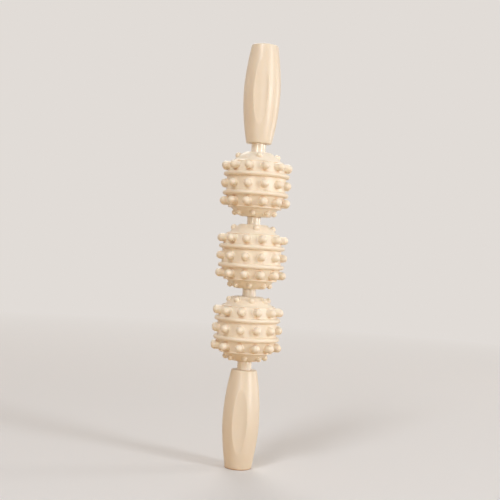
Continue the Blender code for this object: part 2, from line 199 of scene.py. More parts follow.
# Steps of the mesh round a stud's cell, from the cell's edge to the stud, and over the stud's tip
CELL_ACROSS = 16
CELL_ALONG = 10
CELL_RINGS = 4
CAP_SIDES = 128
TIP_RINGS = 7
SETTLE_STEPS = 5


def rounded(corners, closed=True):
    """The outline through (radius, height, rounding) corners, with an arc at each that has a rounding."""
    outline = []
    for i, (radius, height, rounding) in enumerate(corners):
        corner = Vector((radius, height))
        if not rounding:
            outline.append(tuple(corner))
            continue
        before = (Vector(corners[i - 1][:2]) - corner).normalized()
        after = (Vector(corners[(i + 1) % len(corners)][:2]) - corner).normalized()
        half = before.angle(after) / 2
        centre = corner + (before + after).normalized() * rounding / math.sin(half)
        start = corner + before * rounding / math.tan(half) - centre
        end = corner + after * rounding / math.tan(half) - centre
        turn = math.pi - 2 * half
        for step in range(ARC_STEPS + 1):
            share = step / ARC_STEPS
            arm = start * math.sin((1 - share) * turn) + end * math.sin(share * turn)
            outline.append(tuple(centre + arm / math.sin(turn)))
    return outline + outline[:1] if closed else outline


def full_circle(sides, first=0.0):
    """Equal steps of angle once round the axis."""
    return first + math.tau * np.arange(sides) / sides


def turned_grid(outline, angles):
    """Points with a row for each (radius, height) of the outline and a column for each angle."""
    radius, height = np.array(outline).T
    grid = np.empty((len(radius), len(angles), 3))
    grid[..., 0] = radius[:, None] * np.cos(angles)
    grid[..., 1] = radius[:, None] * np.sin(angles)
    grid[..., 2] = height[:, None]
    return grid


def welded_mesh(name, grids):
    """One mesh from grids that each close round their columns, joined where their edges meet."""
    points, faces, start = [], [], 0
    for grid in grids:
        rows, columns = grid.shape[:2]
        index = start + np.arange(rows * columns).reshape(rows, columns)
        turned = np.roll(index, -1, axis=1)
        corners = (index[:-1], turned[:-1], turned[1:], index[1:])
        faces.append(np.stack(corners, axis=-1).reshape(-1, 4))
        points.append(grid.reshape(-1, 3))
        start += rows * columns
    mesh = bpy.data.meshes.new(name)
    mesh.from_pydata(np.concatenate(points).tolist(), [], np.concatenate(faces).tolist())
    bm = bmesh.new()
    bm.from_mesh(mesh)
    bmesh.ops.remove_doubles(bm, verts=bm.verts, dist=WELD)
    bmesh.ops.recalc_face_normals(bm, faces=bm.faces)
    bm.to_mesh(mesh)
    bm.free()
    mesh.shade_smooth()
    mesh.set_sharp_from_angle(angle=SHARP_ABOVE)
    return mesh


def turned_mesh(name, corners):
    """A closed piece turned from its (radius, height, rounding) corners."""
    return welded_mesh(name, [turned_grid(rounded(corners), full_circle(SHAFT_SIDES))])


def barrel_radius(from_ball):
    """The handle's radius at a distance, or at several, from its end beside the ball."""
    far_side = HANDLE_LENGTH - BELLY_FROM_BALL
    near = np.clip((BELLY_FROM_BALL - from_ball) / BELLY_FROM_BALL, 0, 1) ** BALL_SIDE_POWER
    far = np.clip((from_ball - BELLY_FROM_BALL) / far_side, 0, 1) ** OUTER_END_POWER
    drop = near * (BELLY_RADIUS - BALL_SIDE_RADIUS) + far * (BELLY_RADIUS - OUTER_END_RADIUS)
    return BELLY_RADIUS - drop


def flute_centre(from_ball):
    """How far from the axis the sweep of a flute has its own centre, at a distance from the ball."""
    tips = FLUTE_FROM_BALL, FLUTE_FROM_BALL + FLUTE_LENGTH
    near, far = barrel_radius(tips[0]), barrel_radius(tips[1])
    return near + (far - near) * (from_ball - tips[0]) / FLUTE_LENGTH + FLUTE_SWEEP


def flute_rim(radius, centre):
    """Half the angle that the flute takes up where the barrel has this radius."""
    cosine = (centre**2 + radius**2 - FLUTE_SWEEP**2) / (2 * centre * radius)
    return np.arccos(np.clip(cosine, -1, 1))


def flute_columns(rim):
    """Angles round one row of the handle, with lines that follow the rims of the flutes."""
    inner, edge, outer = FLUTE_COLUMNS
    half_sector = math.pi / FLUTES
    stops = np.cumsum((0, inner, edge, outer))
    marks = (0, rim - RIM_HALF_WIDTH, rim + RIM_HALF_WIDTH, half_sector)
    half = np.interp(np.arange(stops[-1] + 1), stops, marks)
    sector = np.concatenate((-half[:0:-1], half[:-1]))
    middles = full_circle(FLUTES, FRONT)
    return (middles[:, None] + sector).ravel()


def fluted_row(radius, from_ball):
    """A row of the handle's outside: the barrel, or the flute where that lies deeper."""
    centre = flute_centre(from_ball)
    rim = max(flute_rim(radius, centre), NARROWEST_RIM)
    angles = flute_columns(rim)
    sector = math.tau / FLUTES
    offset = (angles - FRONT + sector / 2) % sector - sector / 2
    reach = FLUTE_SWEEP**2 - (centre * np.sin(offset)) ** 2
    floor = np.where(reach > 0, centre * np.cos(offset) - np.sqrt(np.maximum(reach, 0)), math.inf)
    apart = np.minimum(np.abs(floor - radius), RIM_SOFTNESS)
    softened = (RIM_SOFTNESS - apart) ** 2 / (4 * RIM_SOFTNESS)
    return angles, np.minimum(floor, radius) - softened


def handle_outside():
    """(radius, height) of the handle's outer side, from its end face up to the face beside the ball."""
    socket = END_CAP_RADIUS + GAP
    heights = np.linspace(BARREL_INSET, HANDLE_LENGTH - BARREL_INSET, HANDLE_ROWS)
    barrel = [(barrel_radius(HANDLE_LENGTH - h), h) for h in heights]
    end = [(socket, 0, 0), (OUTER_END_RADIUS, 0, HANDLE_EDGE), (*barrel[0], 0)]
    ball_end = [(*barrel[-1], 0), (BALL_SIDE_RADIUS, HANDLE_LENGTH, HANDLE_EDGE)]
    ball_end.append((COLLAR_HIGH.x + GAP, HANDLE_LENGTH, 0))
    return rounded(end, closed=False) + barrel[1:-1] + rounded(ball_end, closed=False)


def handle_inside():
    """The handle's inside, from the collar's seat down to the socket of the end cap."""
    seat_radius = COLLAR_HIGH.x + GAP
    seat_floor = HANDLE_LENGTH - SEAT_DEPTH
    pocket_floor = HANDLE_LENGTH - BALL_END_WALL
    boss_floor = BOSS_FROM_END + BOSS_FLOOR
    socket = END_CAP_RADIUS + GAP
    shoulder = END_CAP_THICKNESS + GAP
    corners = [
        (seat_radius, HANDLE_LENGTH, 0),
        (seat_radius, seat_floor, FINE_EDGE),
        (BORE_RADIUS, seat_floor, FINE_EDGE),
        (BORE_RADIUS, boss_floor, FINE_EDGE),
        (SCREW_HOLE_RADIUS, boss_floor, FINE_EDGE),
        (SCREW_HOLE_RADIUS, BOSS_FROM_END, FINE_EDGE),
        (BOSS_RADIUS, BOSS_FROM_END, POCKET_EDGE),
        (BOSS_RADIUS, pocket_floor, POCKET_EDGE),
        (POCKET_RADIUS, pocket_floor, POCKET_EDGE),
        (POCKET_RADIUS, shoulder, FINE_EDGE),
        (socket, shoulder, FINE_EDGE),
        (socket, 0, 0),
    ]
    return rounded(corners, closed=False)


def handle_mesh():
    """The whole handle, with its flutes, its seat for the collar and its pocket."""
    rows = []
    for radius, height in handle_outside():
        angles, reach = fluted_row(radius, HANDLE_LENGTH - height)
        ring = (reach * np.cos(angles), reach * np.sin(angles), np.full(len(angles), height))
        rows.append(np.stack(ring, axis=-1))
    inside = turned_grid(handle_inside(), flute_columns(NARROWEST_RIM))
    return welded_mesh("handle", [np.array(rows), inside])


def end_cap_mesh():
    """A disc with a skirt, and the small mark of the mould's gate in its middle."""
    outer = POCKET_RADIUS - GAP
    inner = outer - END_CAP_WALL
    corners = [
        (0, GATE_DEPTH, 0),
        (GATE_RADIUS, GATE_DEPTH, 0),
        (GATE_RADIUS + GATE_DEPTH, 0, 0),
        (END_CAP_RADIUS, 0, END_CAP_EDGE),
        (END_CAP_RADIUS, END_CAP_THICKNESS, FINE_EDGE),
        (outer, END_CAP_THICKNESS, FINE_EDGE),
        (outer, END_CAP_TIP, FINE_EDGE),
        (inner, END_CAP_TIP, FINE_EDGE),
        (inner, END_CAP_THICKNESS, FINE_EDGE),
        (0, END_CAP_THICKNESS, 0),
    ]
    return turned_mesh("end_cap", corners)


def shaft_tube(radius, low, high):
    """Corners of a plain tube round the rod."""
    return [
        (BORE_RADIUS, low, FINE_EDGE),
        (radius, low, TUBE_EDGE),
        (radius, high, TUBE_EDGE),
        (BORE_RADIUS, high, FINE_EDGE),
    ]


def belt_skin(height):
    """Radius and height of the sleeve's skin, away from its rings and studs."""
    away = np.clip((np.abs(height) - RING_PLACE) / (SLEEVE_HALF - RING_PLACE), 0, None)
    return SLEEVE_RADIUS - (SLEEVE_RADIUS - SHOULDER_RADIUS) * away**SHOULDER_POWER, height


def dome_skin(place):
    """Radius and height of the dome's skin, at a distance in from its rim."""
    share = place / DOME_LENGTH
    bulge = DOME_BULGE * np.sin(math.pi * share)
    radius = DOME_RIM_RADIUS - DOME_WIDTH * share + bulge * DOME_RISE / DOME_LENGTH
    return radius, DOME_BASE + DOME_RISE * share + bulge * DOME_WIDTH / DOME_LENGTH


def cell_outline(half_angle, low, high, steps):
    """Angles and places round the edge of a cell of the skin, without a doubled corner."""
    across = np.linspace(-half_angle, half_angle, steps + 1)
    along = np.linspace(low, high, CELL_ALONG + 1)
    angle = (across[:-1], np.full(CELL_ALONG, half_angle), across[:0:-1], np.full(CELL_ALONG, -half_angle))
    place = (np.full(steps, low), along[:-1], np.full(steps, high), along[:0:-1])
    return np.concatenate(angle), np.concatenate(place)


def skin_point(skin, angle, place):
    """A point on the skin, at an angle round the axis and a place along the skin's outline."""
    radius, height = skin(place)
    return np.stack((radius * np.cos(angle), radius * np.sin(angle), height + 0 * angle), axis=-1)


def under_point(skin, seat, across, along):
    """Where on the skin a point beside the seat lies, and how far the skin is above the seat's plane."""
    place = seat.place + along
    for _ in range(SETTLE_STEPS):
        radius, height = skin(place)
        angle = np.arcsin(across / radius)
        east = radius * np.cos(angle) - seat.radius
        up = height - seat.height
        place = place + along - (east * seat.along[0] + up * seat.along[1])
    return angle, place, east * seat.out[0] + up * seat.out[1]


def seat_point(seat, across, along, lift):
    """A point beside the seat and above its plane."""
    east = seat.radius + seat.out[0] * lift + seat.along[0] * along
    up = seat.height + seat.out[1] * lift + seat.along[1] * along
    return np.stack((east, across, up), axis=-1)


def stud_cell(skin, seat, stud, half_angle, low, high, steps=CELL_ACROSS, rings=CELL_RINGS):
    """A grid from the edge of a cell of the skin, over the stud's fillet and side, to its tip."""
    angle, place = cell_outline(half_angle, low, high, steps)
    edge_radius = skin(place)[0]
    across, along = edge_radius * np.sin(angle), place - seat.place
    turn = np.arctan2(along, across)
    room = np.hypot(across, along) - stud.radius - WELD
    fillet = np.clip(room, LEAST_FILLET_SHARE * stud.fillet, stud.fillet)
    cosine, sine = np.cos(turn), np.sin(turn)
    foot = stud.radius + fillet
    foot_angle, foot_place, _ = under_point(skin, seat, foot * cosine, foot * sine)
    rows = []
    for share in np.linspace(0, 1, rings + 1):
        mixed = (angle + (foot_angle - angle) * share, place + (foot_place - place) * share)
        rows.append(skin_point(skin, *mixed))
    for lean in np.linspace(0, math.pi / 2, ARC_STEPS + 1)[1:]:
        distance = stud.radius + fillet * (1 - math.sin(lean))
        _, _, lift = under_point(skin, seat, distance * cosine, distance * sine)
        rise = lift + fillet * (1 - math.cos(lean))
        rows.append(seat_point(seat, distance * cosine, distance * sine, rise))
    for lean in np.linspace(math.pi / 2, 0, TIP_RINGS + 1):
        distance = stud.tip_radius * math.sin(lean)
        rise = stud.reach - stud.tip_height * (1 - math.cos(lean))
        rows.append(seat_point(seat, distance * cosine, distance * sine, rise + 0 * turn))
    return np.array(rows)


def turned_copies(grid, count, first):
    """The grid repeated round the axis."""
    copies = []
    for angle in full_circle(count, first):
        matrix = np.array(Matrix.Rotation(angle, 3, "Z"))
        copies.append(grid @ matrix.T)
    return copies


def ring_outline(side):
    """One of the sleeve's two half-round rings, from foot to foot. The side is 1 above and -1 below."""
    inner, outer = RING_PLACE - RING_HALF, RING_PLACE + RING_HALF
    start, end = inner - RING_FOOT, outer + RING_FOOT
    corners = [
        (belt_skin(start)[0], start, 0),
        (belt_skin(inner)[0], inner, RING_FOOT_EDGE),
        (RING_RADIUS, inner, RING_CREST),
        (RING_RADIUS, outer, RING_CREST),
        (belt_skin(outer)[0], outer, RING_FOOT_EDGE),
        (belt_skin(end)[0], end, 0),
    ]
    return [(radius, side * height) for radius, height in rounded(corners, closed=False)]


def ends_and_bore():
    """The sleeve's ends and bore: in over the upper slope, down the bore and out over the lower lip."""
    edge, step = SLEEVE_END_EDGE, SLOPE_START + SLOPE_STEP
    corners = [
        (belt_skin(SLOPE_START)[0], SLOPE_START, 0),
        (belt_skin(step)[0], step, edge),
        (SLOPE_FOOT_RADIUS, step + edge, SLOPE_EDGE),
        (SLOPE_FOOT_RADIUS - edge, SLEEVE_HALF + edge, SLOPE_EDGE),
        (SLOPE_TOP_RADIUS, SLOPE_END, edge),
        (SLOPE_TOP_RADIUS, SLEEVE_HALF, edge),
        (SLEEVE_BORE, SLEEVE_HALF, edge),
        (SLEEVE_BORE, -SLEEVE_HALF, edge),
        (LIP_BORE, -SLEEVE_HALF, edge),
        (LIP_TOP_BORE, -LIP_END, edge),
        (LIP_RADIUS, -LIP_END, LIP_EDGE),
        (LIP_RADIUS, -LIP_START - edge, LIP_EDGE),
        (belt_skin(LIP_START)[0], -LIP_START, 0),
    ]
    return rounded(corners, closed=False)


def sleeve_mesh():
    """The studded belt: cells of skin with a stud each, two rings, a slope, a lip and the bore."""
    half_angle = math.pi / STUD_COLUMNS
    around = full_circle(STUD_COLUMNS * CELL_ACROSS)
    grids = [turned_grid(ring_outline(side), around) for side in (1, -1)]
    grids.append(turned_grid(ends_and_bore(), around))
    inner = RING_PLACE - RING_HALF - RING_FOOT
    outer = RING_PLACE + RING_HALF + RING_FOOT
    spans = ((-LIP_START, -outer), (-inner, inner), (outer, SLOPE_START))
    for place, span in zip(STUD_ROWS, spans):
        radius = float(belt_skin(place)[0])
        seat = Seat(place, radius, place, (1, 0), (0, 1))
        reach = STUD_REACH - radius
        stud = Stud(STUD_RADIUS, STUD_TIP_RADIUS, STUD_TIP_HEIGHT, STUD_FILLET, reach)
        cell = stud_cell(belt_skin, seat, stud, half_angle, *span)
        grids += turned_copies(cell, STUD_COLUMNS, half_angle)
    return welded_mesh("sleeve", grids)


def cap_outline():
    """The cap from the top edge of its cells over the flat, through the inside, to their lower edge."""
    low, high = (DOME_LENGTH * share for share in NUB_CELL_SHARES)
    ceiling = BALL_HALF - DOME_WALL
    skirt = DOME_SKIRT_RADIUS
    inner_skirt = DOME_SKIRT_RADIUS - DOME_SKIRT_WALL
    corners = [
        (*dome_skin(high), 0),
        (DOME_FLAT_RADIUS, BALL_HALF, DOME_FLAT_EDGE),
        (DOME_BORE, BALL_HALF, FINE_EDGE),
        (DOME_BORE, ceiling, FINE_EDGE),
        (DOME_FLAT_RADIUS, ceiling, FINE_EDGE),
        (inner_skirt, DOME_BASE, FINE_EDGE),
        (inner_skirt, DOME_BASE - DOME_SKIRT, FINE_EDGE),
        (skirt, DOME_BASE - DOME_SKIRT, FINE_EDGE),
        (skirt, DOME_BASE, FINE_EDGE),
        (DOME_RIM_RADIUS, DOME_BASE, FINE_EDGE),
        (*dome_skin(low), 0),
    ]
    return rounded(corners, closed=False)


def cap_mesh(nub, count):
    """The domed pole with its ring of nubs."""
    out = (DOME_RISE / DOME_LENGTH, DOME_WIDTH / DOME_LENGTH)
    place = NUB_PLACE_SHARE * DOME_LENGTH
    radius, height = dome_skin(place)
    seat = Seat(place, float(radius), float(height), out, (-out[1], out[0]))
    low, high = (DOME_LENGTH * share for share in NUB_CELL_SHARES)
    rings = CELL_RINGS * NUB_COLUMNS // count
    cell = stud_cell(dome_skin, seat, nub, math.pi / count, low, high, CAP_SIDES // count, rings)
    grids = turned_copies(cell, count, NUB_TURN)
    grids.append(turned_grid(cap_outline(), full_circle(CAP_SIDES, NUB_TURN)))
    return welded_mesh("cap", grids)


def bush_mesh():
    """A flanged bush with a shallow recess that takes the end of a collar or spacer."""
    recess_radius = COLLAR_HIGH.x + GAP
    under, floor = BALL_HALF - BUSH_FLANGE, BALL_HALF - BUSH_RECESS
    tip = under - (BUSH_TIP - BUSH_FLANGE)
    corners = [
        (BORE_RADIUS, tip, FINE_EDGE),
        (BUSH_RADIUS, tip, FINE_EDGE),
        (BUSH_RADIUS, under, FINE_EDGE),
        (BUSH_FLANGE_RADIUS, under, FINE_EDGE),
        (BUSH_FLANGE_RADIUS, BALL_HALF, FINE_EDGE),
        (recess_radius, BALL_HALF, FINE_EDGE),
        (recess_radius, floor, FINE_EDGE),
        (BORE_RADIUS, floor, FINE_EDGE),
    ]
    return turned_mesh("bush", corners)


# Places of a colour mix's sockets
MIX_SHARE = 0
MIX_FIRST = 6
MIX_SECOND = 7
MIX_RESULT = 2

# Ivory, its deeper tint in the clouds of the moulding, and painted shade: a warm darker tint multiplied into
# the colour in its hollows
IVORY = (0.85, 0.775, 0.65)
# The balls' rubber and caps are paler than the handles, and this ivory is paler still to lift the shade
# among their studs and rings: partly their own colour, partly painted light
PALER_IVORY = (0.92, 0.85, 0.725)
# Painted light: the collars and spacers are paler than the handles' ivory, to make up for the shade that the
# balls beside them cast
SHAFT_IVORY_WITH_PAINTED_LIGHT = (0.95, 0.885, 0.77)
IVORY_DEEP = (0.82, 0.72, 0.57)
# Painted shade: this warm brown is multiplied into the colour where the surface is enclosed, standing for
# shade in creases and under rings
PAINTED_SHADE_TINT = (0.80, 0.52, 0.28)
PAINTED_SHADE_REACH = 2.5 * MM
SHAFT_PAINTED_SHADE_REACH = 1.0 * MM
PAINTED_SHADE_SHARE = 0.9
PAINTED_SHADE_SPAN = (0.2, 0.85)
PAINTED_SHADE_SAMPLES = 8

# Noise in the plastic: features per metre with detail, how much of each shows, and over what span of it
SEED_STEP = (0.37, 0.19, 0.53)
DRIFT_NOISE = (28.0, 3.0)
DRIFT_SHARE = 0.55
DRIFT_SPAN = (0.35, 0.75)
FLECK_NOISE = (420.0, 2.0)
FLECK_SHARE = 0.12
FLECK_SPAN = (0.45, 0.8)
GLOSS_NOISE = (90.0, 4.0)
GLOSS_SPREAD = (-0.05, 0.07)
GLOSS_SPAN = (0.3, 0.7)
GRAIN_NOISE = (2600.0, 2.0)
WAVE_NOISE = (75.0, 1.0)
WAVE_HEIGHT = 0.10 * MM
BUMP_STRENGTH = 0.5

# Light in and on the plastic
SCATTER_WEIGHT = 0.12
SCATTER_RADIUS = (1.0, 0.75, 0.5)
SCATTER_DEPTH = 1.5 * MM
COAT_ROUGHNESS = 0.10
SPECULAR_LEVEL = 0.75
PLASTIC_IOR = 1.49

# A plastic's noise seed, look and how far round a point its hollows are felt for the painted shade
PLASTIC_FIELDS = "seed roughness grain colour coat hollow_reach"
Plastic = namedtuple("Plastic", PLASTIC_FIELDS, defaults=(IVORY, 0.0, PAINTED_SHADE_REACH))
HANDLE_PLASTIC = Plastic(1, roughness=0.36, grain=0.020 * MM)
END_CAP_PLASTIC = Plastic(3, roughness=0.42, grain=0.030 * MM)
COLLAR_PLASTIC = Plastic(5, 0.22, 0.006 * MM, SHAFT_IVORY_WITH_PAINTED_LIGHT, coat=0.6, hollow_reach=SHAFT_PAINTED_SHADE_REACH)
SPACER_PLASTIC = COLLAR_PLASTIC._replace(seed=7)
SLEEVE_RUBBER = Plastic(11, roughness=0.38, grain=0.015 * MM, colour=PALER_IVORY, coat=0.1)
BALL_CAP_PLASTIC = Plastic(15, roughness=0.40, grain=0.020 * MM, colour=PALER_IVORY, coat=0.1)
BUSH_PLASTIC = Plastic(19, roughness=0.34, grain=0.010 * MM)
CORE_PLASTIC = Plastic(23, roughness=0.50, grain=0.030 * MM)

# Steel: its two greys, and the marks of drawing
STEEL = (0.60, 0.60, 0.61)
STEEL_DEEP = (0.50, 0.50, 0.52)
ROD_ROUGHNESS = 0.30
SCREW_ROUGHNESS = 0.38
STEEL_SPREAD = (-0.08, 0.12)
STAIN_NOISE = (60.0, 3.0)
STAIN_SPAN = (0.35, 0.7)
MARK_NOISE = (4200.0, 3.0, 0.6)
MARK_STRETCH = (1, 1, 0.03)
MARK_DEPTH = 0.01 * MM
MARK_STRENGTH = 0.4


def node(tree, kind, inputs=(), **settings):
    """A shader node, with its inputs set to values or linked to other nodes' outputs."""
    made = tree.nodes.new(kind)
    for name, value in settings.items():
        setattr(made, name, value)
    for name, value in dict(inputs).items():
        if isinstance(value, bpy.types.NodeSocket):
            tree.links.new(value, made.inputs[name])
        else:
            made.inputs[name].default_value = value
    return made


def cloud(tree, place, scale, detail=2.0, roughness=0.5):
    """Soft noise with a number of features per metre."""
    inputs = {"Vector": place, "Scale": scale, "Detail": detail, "Roughness": roughness}
    return node(tree, "ShaderNodeTexNoise", inputs).outputs["Fac"]


def ranged(tree, value, low, high, start=0.0, end=1.0):
    """The value spread from start to end over low to high."""
    inputs = {"Value": value, "From Min": start, "From Max": end, "To Min": low, "To Max": high}
    return node(tree, "ShaderNodeMapRange", inputs).outputs["Result"]


def blended(tree, share, first, second, kind="MIX"):
    """Two colours mixed by a share. A colour mix has its sockets at the places named here."""
    made = node(tree, "ShaderNodeMix", data_type="RGBA", blend_type=kind)
    for place, value in ((MIX_SHARE, share), (MIX_FIRST, first), (MIX_SECOND, second)):
        socket = made.inputs[place]
        if isinstance(value, bpy.types.NodeSocket):
            tree.links.new(value, socket)
        else:
            socket.default_value = (*value, 1.0) if isinstance(value, tuple) else value
    return made.outputs[MIX_RESULT]


def moulded_plastic(name, plastic, number=0):
    """Ivory plastic: a faint cloudiness, painted warm shade in its hollows, fine moulded grain and uneven
    gloss.

    The number gives each copy of a piece noise of its own.
    """
    finish = bpy.data.materials.new(name)
    finish.use_nodes = True
    tree = finish.node_tree
    shader = tree.nodes["Principled BSDF"]
    local = node(tree, "ShaderNodeTexCoord").outputs["Object"]
    shift = tuple(step * (plastic.seed + number) for step in SEED_STEP)
    place = node(tree, "ShaderNodeMapping", {"Vector": local, "Location": shift}).outputs["Vector"]
    drift = ranged(tree, cloud(tree, place, *DRIFT_NOISE), 0.0, DRIFT_SHARE, *DRIFT_SPAN)
    fleck = ranged(tree, cloud(tree, place, *FLECK_NOISE), 0.0, FLECK_SHARE, *FLECK_SPAN)
    deep = tuple(c * d / i for c, d, i in zip(plastic.colour, IVORY_DEEP, IVORY))
    tinted = blended(tree, fleck, blended(tree, drift, plastic.colour, deep), deep)
    # Painted shade: where ambient occlusion finds the surface enclosed, the colour is darkened towards a
    # warm brown
    inputs = {"Distance": plastic.hollow_reach}
    open_share = node(tree, "ShaderNodeAmbientOcclusion", inputs, samples=PAINTED_SHADE_SAMPLES).outputs["AO"]
    painted_shade = ranged(tree, open_share, PAINTED_SHADE_SHARE, 0.0, *PAINTED_SHADE_SPAN)
    shade_painted_colour = blended(tree, painted_shade, tinted, PAINTED_SHADE_TINT, "MULTIPLY")
    tree.links.new(shade_painted_colour, shader.inputs["Base Color"])
    spread = (plastic.roughness + change for change in GLOSS_SPREAD)
    gloss = ranged(tree, cloud(tree, place, *GLOSS_NOISE), *spread, *GLOSS_SPAN)
    tree.links.new(gloss, shader.inputs["Roughness"])
    fine, wave = cloud(tree, place, *GRAIN_NOISE), cloud(tree, place, *WAVE_NOISE)
    inputs = {"Height": fine, "Strength": BUMP_STRENGTH, "Distance": plastic.grain}
    grained = node(tree, "ShaderNodeBump", inputs).outputs["Normal"]
    inputs = {"Height": wave, "Strength": BUMP_STRENGTH, "Distance": WAVE_HEIGHT, "Normal": grained}
    waved = node(tree, "ShaderNodeBump", inputs)
    tree.links.new(waved.outputs["Normal"], shader.inputs["Normal"])
    shader.inputs["Subsurface Weight"].default_value = SCATTER_WEIGHT
    shader.inputs["Subsurface Radius"].default_value = SCATTER_RADIUS
    shader.inputs["Subsurface Scale"].default_value = SCATTER_DEPTH
    shader.inputs["Coat Weight"].default_value = plastic.coat
    shader.inputs["Coat Roughness"].default_value = COAT_ROUGHNESS
    shader.inputs["Specular IOR Level"].default_value = SPECULAR_LEVEL
    shader.inputs["IOR"].default_value = PLASTIC_IOR
    return finish


def drawn_steel(name, roughness, seed):
    """Bright steel with fine marks along the bar."""
    finish = bpy.data.materials.new(name)
    finish.use_nodes = True
    tree = finish.node_tree
    shader = tree.nodes["Principled BSDF"]
    local = node(tree, "ShaderNodeTexCoord").outputs["Object"]
    inputs = {"Vector": local, "Location": (seed, 0, 0), "Scale": MARK_STRETCH}
    place = node(tree, "ShaderNodeMapping", inputs).outputs["Vector"]
    marks = cloud(tree, place, *MARK_NOISE)
    stain = ranged(tree, cloud(tree, local, *STAIN_NOISE), 0.0, 1.0, *STAIN_SPAN)
    tree.links.new(blended(tree, stain, STEEL, STEEL_DEEP), shader.inputs["Base Color"])
    spread = (roughness + change for change in STEEL_SPREAD)
    gloss = ranged(tree, marks, *spread, *GLOSS_SPAN)
    tree.links.new(gloss, shader.inputs["Roughness"])
    bump = node(tree, "ShaderNodeBump", {"Height": marks, "Strength": MARK_STRENGTH, "Distance": MARK_DEPTH})
    tree.links.new(bump.outputs["Normal"], shader.inputs["Normal"])
    shader.inputs["Metallic"].default_value = 1.0
    return finish


def placed(name, mesh, finish, matrix, body, stands_for):
    """A fine piece turned and set in its place, which rides on a body and stands for a CAD node."""
    shape = mesh.copy()
    shape.name = name
    shape.transform(matrix.to_3x3().to_4x4())
    shape.materials.clear()
    shape.materials.append(finish)
    made = bpy.data.objects.new(name, shape)
    made.location = matrix.translation
    bpy.context.scene.collection.objects.link(made)
    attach(made, body)
    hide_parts(stands_for)


def dress_stick():
    """Handles, end caps, collars and spacers. The upper end is the lower one turned over."""
    handle, end_cap = handle_mesh(), end_cap_mesh()
    collar = turned_mesh("collar", shaft_tube(COLLAR_HIGH.x, COLLAR_LOW.z, COLLAR_HIGH.z))
    over = Matrix.Translation((0, 0, STICK_LENGTH)) @ Matrix.Rotation(math.pi, 4, "Y")
    for number, (side, matrix) in enumerate((("lower", Matrix()), ("upper", over))):
        grip = moulded_plastic(f"{side}_handle_plastic", HANDLE_PLASTIC, number)
        plug = moulded_plastic(f"{side}_end_cap_plastic", END_CAP_PLASTIC, number)
        shaft = moulded_plastic(f"{side}_collar_plastic", COLLAR_PLASTIC, number)
        for part, mesh, finish, slot in (
            ("handle", handle, grip, "handle_plastic"),
            ("end_cap", end_cap, plug, "end_cap_plastic"),
            ("collar", collar, shaft, "shaft_plastic"),
        ):
            name = f"{side}_{part}"
            placed(f"{name}_moulding", mesh, finish, matrix, "stick", name)
    half = (SPACER_HIGH.z - SPACER_LOW.z) / 2
    spacer = turned_mesh("spacer", shaft_tube(SPACER_HIGH.x, -half, half))
    for number, side in enumerate(("lower", "upper")):
        name = f"{side}_spacer"
        finish = moulded_plastic(f"{name}_plastic", SPACER_PLASTIC, number)
        low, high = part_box(name)
        matrix = Matrix.Translation((0, 0, (low.z + high.z) / 2))
        placed(f"{name}_moulding", spacer, finish, matrix, "stick", name)


def dress_balls():
    """Sleeve, caps and bushes of each ball."""
    sleeve, bush = sleeve_mesh(), bush_mesh()
    nub = Stud(NUB_RADIUS, NUB_TIP_RADIUS, NUB_TIP_HEIGHT, NUB_FILLET, NUB_REACH)
    full_cap = cap_mesh(nub, NUB_COLUMNS)
    nub = Stud(SPARSE_NUB_RADIUS, SPARSE_NUB_TIP_RADIUS, SPARSE_NUB_TIP_HEIGHT, NUB_FILLET, NUB_REACH)
    sparse_cap = cap_mesh(nub, SPARSE_NUB_COLUMNS)
    over = Matrix.Rotation(math.pi, 4, "X")
    for number, (body, height) in enumerate(BALLS.items()):
        spin = Matrix.Translation((0, 0, height)) @ Matrix.Rotation(BALL_TURNS[body], 4, "Z")
        belt = moulded_plastic(f"{body}_sleeve_rubber", SLEEVE_RUBBER, number)
        pole = moulded_plastic(f"{body}_cap_plastic", BALL_CAP_PLASTIC, number)
        bearing = moulded_plastic(f"{body}_bush_plastic", BUSH_PLASTIC, number)
        placed(f"{body}_sleeve_moulding", sleeve, belt, spin, body, f"{body}_sleeve")
        for side, turn in (("lower", over), ("upper", Matrix())):
            cap = sparse_cap if f"{body}_{side}_cap" in SPARSE_CAPS else full_cap
            for part, mesh, finish, slot in (
                ("cap", cap, pole, "ball_cap_plastic"),
                ("bush", bush, bearing, "bush_plastic"),
            ):
                name = f"{body}_{side}_{part}"
                placed(f"{name}_moulding", mesh, finish, spin @ turn, body, name)


def dress_hidden_nodes():
    """The CAD solids that stay get a finish of their own."""
    steel = drawn_steel("rod_steel", ROD_ROUGHNESS, seed=1.0)
    plated = drawn_steel("screw_steel", SCREW_ROUGHNESS, seed=2.0)
    drum = moulded_plastic("core_plastic", CORE_PLASTIC)
    finishes = {"core_rod": steel}
    for side in ("lower", "upper"):
        finishes[f"{side}_rod_screw"] = plated
        finishes[f"{side}_washer"] = plated
    for body in BALLS:
        finishes[f"{body}_core"] = drum
    for name, finish in finishes.items():
        mesh = frame["nodes"][name].data
        mesh.materials.clear()
        mesh.materials.append(finish)


# Stage: the floor's colour to the eye, the warm one that it scatters, and where floor gives way to backdrop
STAGE_RADIUS = 3.2
STAGE_HEIGHT = 3.0
STAGE_CURVE = 1.4
STAGE_PALE = (0.78, 0.79, 0.81, 1.0)
STAGE_BOUNCE = (0.54, 0.36, 0.18, 1.0)
BACKDROP_PALE = (0.755, 0.715, 0.68, 1.0)
LIT_FLOOR_RADIUS = 0.4
BACKDROP_RADIUS = 1.8


